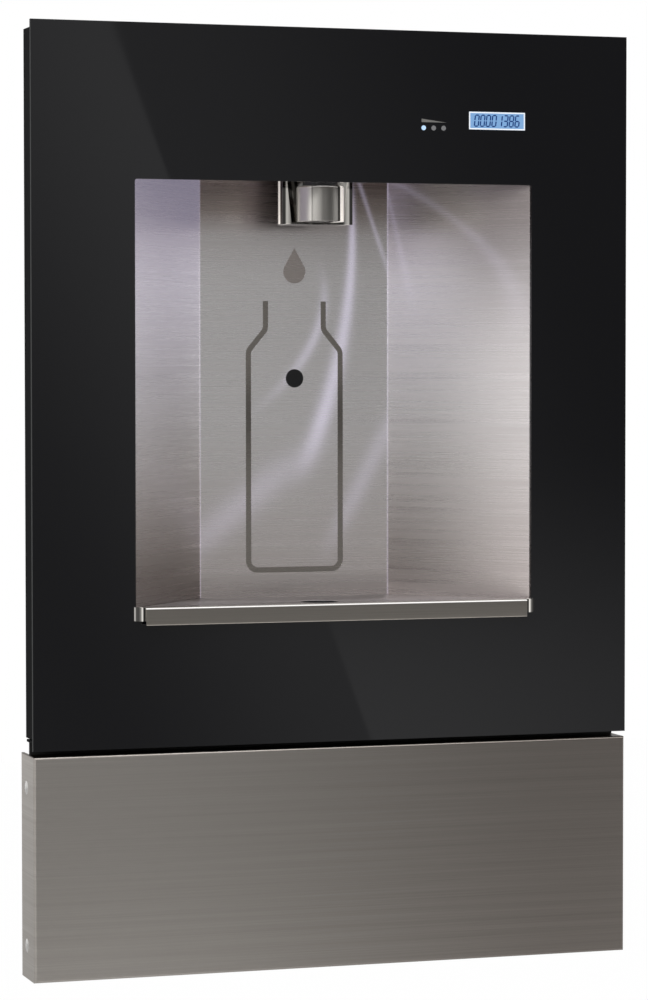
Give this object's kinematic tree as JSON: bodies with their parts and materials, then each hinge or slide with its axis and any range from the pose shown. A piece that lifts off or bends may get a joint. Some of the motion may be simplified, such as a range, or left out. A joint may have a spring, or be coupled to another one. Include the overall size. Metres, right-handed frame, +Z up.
{
  "type": "bottle filling station",
  "caption": "In-wall touch-free bottle filler: glass front, splayed steel alcove with nozzle and drip tray, and a lower steel panel over the filter bay.",
  "frame": {"origin": "on the finished wall's plane, at the middle of the wall box's flange", "axes": "+Z up, +Y into the wall, so the front faces -Y; +X to the right of someone facing it"},
  "size_m": [0.441, 0.1363, 0.662],
  "materials": {
    "black_glass": "gloss",
    "brushed_steel": "brushed",
    "polished_steel": "polished",
    "galvanised_steel": "galvanised",
    "black_steel": "powder coated",
    "zinc_steel": "zinc plated",
    "chromed_brass": "chromed",
    "brass": "cast and turned",
    "black_rubber": "matte",
    "black_plastic": "satin",
    "grey_plastic": "satin",
    "white_plastic": "satin",
    "clear_lens": "frosted",
    "display_glass": "gloss",
    "circuit_board": "solder mask"
  },
  "bodies": {
    "station": {"wall_box": "galvanised_steel", "wall_flange": "galvanised_steel", "hanger_rail": "galvanised_steel", "backing_frame": "black_steel", "foot_plate": "black_steel", "glass_tape": "black_rubber", "glass_panel": "black_glass", "alcove_shell": "brushed_steel", "alcove_ceiling": "brushed_steel", "alcove_floor": "brushed_steel", "alcove_nuts": "zinc_steel", "bottle_outline": "polished_steel", "water_drop": "polished_steel", "sensor_window": "black_plastic", "sensor_module": "grey_plastic", "nozzle_body": "polished_steel", "nozzle_neck": "black_plastic", "nozzle_seal": "black_rubber", "neck_nut": "black_plastic", "flow_straightener": "grey_plastic", "nozzle_shroud": "polished_steel", "light_lens": "clear_lens", "light_board": "circuit_board", "counter_display": "display_glass", "display_board": "circuit_board", "status_lenses": "clear_lens", "drain_cup": "grey_plastic", "drain_gasket": "black_rubber", "drain_nut": "grey_plastic", "slip_nut": "grey_plastic", "drain_pipe": "chromed_brass", "pipe_grommet": "black_rubber", "panel_brackets": "galvanised_steel", "mounting_screws": "zinc_steel", "filter_head": "white_plastic", "filter_bracket": "galvanised_steel", "valve_body": "brass", "valve_coil": "black_plastic", "valve_bracket": "galvanised_steel", "inlet_fitting": "chromed_brass", "inlet_nut": "grey_plastic", "inlet_tube": "white_plastic", "filtered_tube": "white_plastic", "nozzle_tube": "white_plastic", "control_board": "circuit_board", "control_cover": "white_plastic", "supply_unit": "black_plastic", "cable_bushing": "black_rubber", "inner_leads": "black_rubber"},
    "tray": {"drip_tray": "brushed_steel", "tray_lip": "polished_steel", "tray_bar": "brushed_steel"},
    "strainer": {"drain_strainer": "black_plastic"},
    "lower_cover": {"lower_panel": "brushed_steel", "panel_screws": "zinc_steel", "panel_nuts": "zinc_steel"},
    "filter": {"filter_cartridge": "white_plastic", "filter_seals": "black_rubber"},
    "plunger": {"valve_plunger": "zinc_steel", "valve_spring": "zinc_steel"}
  },
  "joints": [
    {"name": "tray_lift", "type": "slide", "parent": "station", "child": "tray", "axis": [0, 0, 1], "range_m": [0, 0.06]},
    {"name": "strainer_lift", "type": "slide", "parent": "tray", "child": "strainer", "axis": [0, 0, 1], "range_m": [0, 0.03]},
    {"name": "panel_slide", "type": "slide", "parent": "station", "child": "lower_cover", "axis": [0, -1, 0], "range_m": [0, 0.06]},
    {"name": "filter_turn", "type": "hinge", "parent": "station", "child": "filter", "pos_m": [0, 0.004, -0.247], "axis": [1, 0, 0], "range_deg": [0, 90]},
    {"name": "plunger_slide", "type": "slide", "parent": "station", "child": "plunger", "axis": [0, 0, 1], "range_m": [0, 0.003], "stiffness_N_per_m": 250, "springref_m": -0.004, "deforming": ["valve_spring"]}
  ]
}
